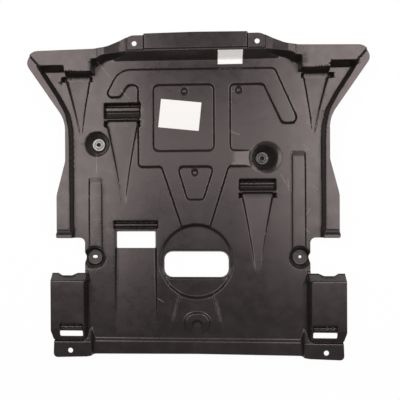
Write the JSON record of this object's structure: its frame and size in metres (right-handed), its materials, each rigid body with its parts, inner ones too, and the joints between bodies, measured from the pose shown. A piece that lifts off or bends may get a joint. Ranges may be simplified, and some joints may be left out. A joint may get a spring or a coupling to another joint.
{
  "type": "engine guard undertray",
  "caption": "Moulded plastic engine guard: a ribbed flat tray with raised side rims, wing plates, flush air ducts, screw wells, a slotted centre dish and boxed lower corners.",
  "frame": {"origin": "middle of the bounding box in X and Y, on the plane that the feet under the tray rest on", "axes": "+X to the right of the pictured face, +Y towards the strip with the raised wing plates, +Z out of the pictured face"},
  "size_m": [0.8222, 0.7906, 0.071],
  "materials": {
    "black_plastic": "satin, fine moulded grain",
    "plated_steel": "satin zinc plating",
    "white_paper": "matt coated paper"
  },
  "bodies": {
    "root": {"guard_panel": "black_plastic", "left_well_insert": "plated_steel", "right_well_insert": "plated_steel", "large_label": "white_paper", "small_label": "white_paper"}
  },
  "joints": []
}
